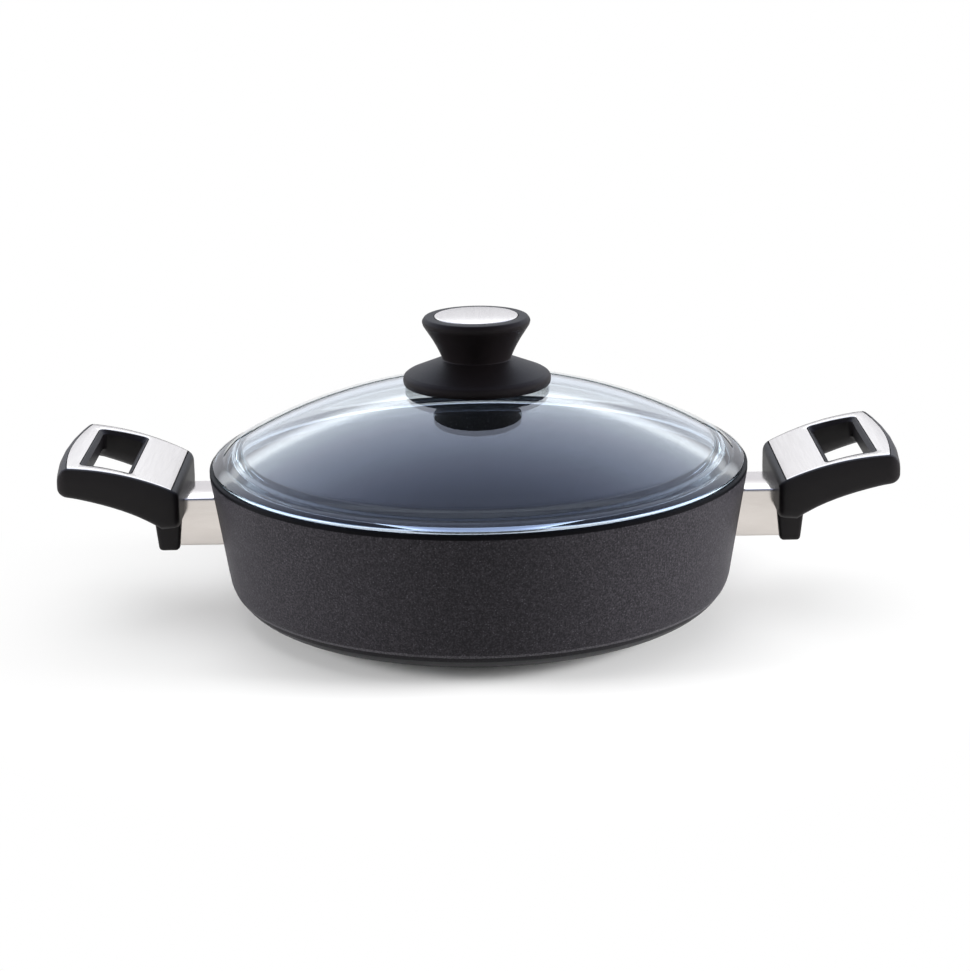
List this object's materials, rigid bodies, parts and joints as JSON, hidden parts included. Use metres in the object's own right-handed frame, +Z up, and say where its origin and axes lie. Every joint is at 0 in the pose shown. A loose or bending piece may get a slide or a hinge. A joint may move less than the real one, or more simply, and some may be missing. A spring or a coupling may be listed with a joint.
{
  "type": "casserole pot",
  "caption": "Low round casserole pot of dark coated cast metal with two black side handles and a domed clear glass lid with a black knob",
  "frame": {"origin": "Middle of the flat base, on the surface that the pot stands on", "axes": "+X through the right handle as pictured, +Y away from the camera, +Z up through the knob"},
  "size_m": [0.45, 0.29, 0.1604],
  "materials": {
    "coated_cast_metal": "charcoal speckled non-stick coating, semi-gloss",
    "polished_steel": "polished",
    "black_moulding": "fine satin",
    "satin_steel": "satin",
    "plated_steel": "bright plated",
    "clear_glass": "clear polished",
    "brass_insert": "turned",
    "grey_silicone": "matt"
  },
  "bodies": {
    "pot": {"pot_body": "coated_cast_metal", "right_sleeve": "polished_steel", "right_grip": "black_moulding", "right_plate": "satin_steel", "right_spring_washer": "plated_steel", "right_handle_screw": "plated_steel", "left_sleeve": "polished_steel", "left_grip": "black_moulding", "left_plate": "satin_steel", "left_spring_washer": "plated_steel", "left_handle_screw": "plated_steel"},
    "lid": {"lid_glass": "clear_glass", "lid_knob": "black_moulding", "knob_cap_disc": "satin_steel", "knob_thread_insert": "brass_insert", "knob_upper_gasket": "grey_silicone", "knob_lower_gasket": "grey_silicone", "knob_washer": "plated_steel", "knob_screw": "plated_steel"}
  },
  "joints": [
    {"name": "lid_lift", "type": "slide", "parent": "pot", "child": "lid", "axis": [0, 0, 1], "range_m": [0, 0.15]}
  ]
}
